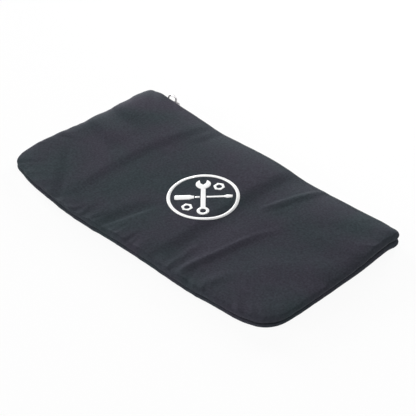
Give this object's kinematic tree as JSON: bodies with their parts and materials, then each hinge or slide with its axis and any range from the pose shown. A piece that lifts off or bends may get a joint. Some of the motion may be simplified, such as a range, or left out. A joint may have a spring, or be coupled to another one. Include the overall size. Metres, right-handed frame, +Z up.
{
  "type": "zippered tool bag",
  "caption": "Flat padded tool pouch, sewn on three sides and closed along one long edge by a zipper with a wire loop pull.",
  "frame": {"origin": "on the face that the bag lies on, below the middle of its outline without the slider", "axes": "+X along the zipper towards its open end, +Y out of the mouth, +Z up through the front panel"},
  "size_m": [0.318, 0.1825, 0.016],
  "materials": {
    "shell_fabric": "matte",
    "lining_fabric": "matte",
    "padding_foam": "matte",
    "binding_tape": "matte",
    "zipper_tape": "matte",
    "zipper_teeth": "satin",
    "thread": "satin",
    "slider_metal": "satin",
    "pull_wire": "satin"
  },
  "bodies": {
    "back_panel": {"back_shell": "shell_fabric", "back_padding": "padding_foam", "back_lining": "lining_fabric", "seam_binding": "binding_tape", "lower_zip_tape": "zipper_tape", "lower_teeth": "zipper_teeth", "lower_top_stop": "slider_metal", "bottom_stop": "slider_metal", "lower_lip_stitching": "thread"},
    "front_panel": {"front_shell": "shell_fabric", "front_padding": "padding_foam", "front_lining": "lining_fabric", "upper_zip_tape": "zipper_tape", "upper_teeth": "zipper_teeth", "upper_top_stop": "slider_metal", "upper_lip_stitching": "thread"},
    "slider": {"slider_body": "slider_metal", "slider_crown": "slider_metal"},
    "pull": {"pull_ring": "pull_wire"}
  },
  "joints": [
    {"name": "mouth_open", "type": "hinge", "parent": "back_panel", "child": "front_panel", "pos_m": [0, -0.0882, 0.00595], "axis": [1, 0, 0], "range_deg": [0, 15], "deforming": ["seam_binding", "lower_zip_tape", "upper_zip_tape", "lower_teeth", "upper_teeth"]},
    {"name": "zip_slide", "type": "slide", "parent": "back_panel", "child": "slider", "axis": [1, 0, 0], "range_m": [0, 0.258]},
    {"name": "pull_swing", "type": "hinge", "parent": "slider", "child": "pull", "pos_m": [-0.1243, 0.09295, 0.0079], "axis": [0, 0, -1], "range_deg": [0, 180]}
  ],
  "couplings": [
    {"joint": "zip_slide", "follows": "mouth_open", "m_per_rad": 0.985}
  ]
}
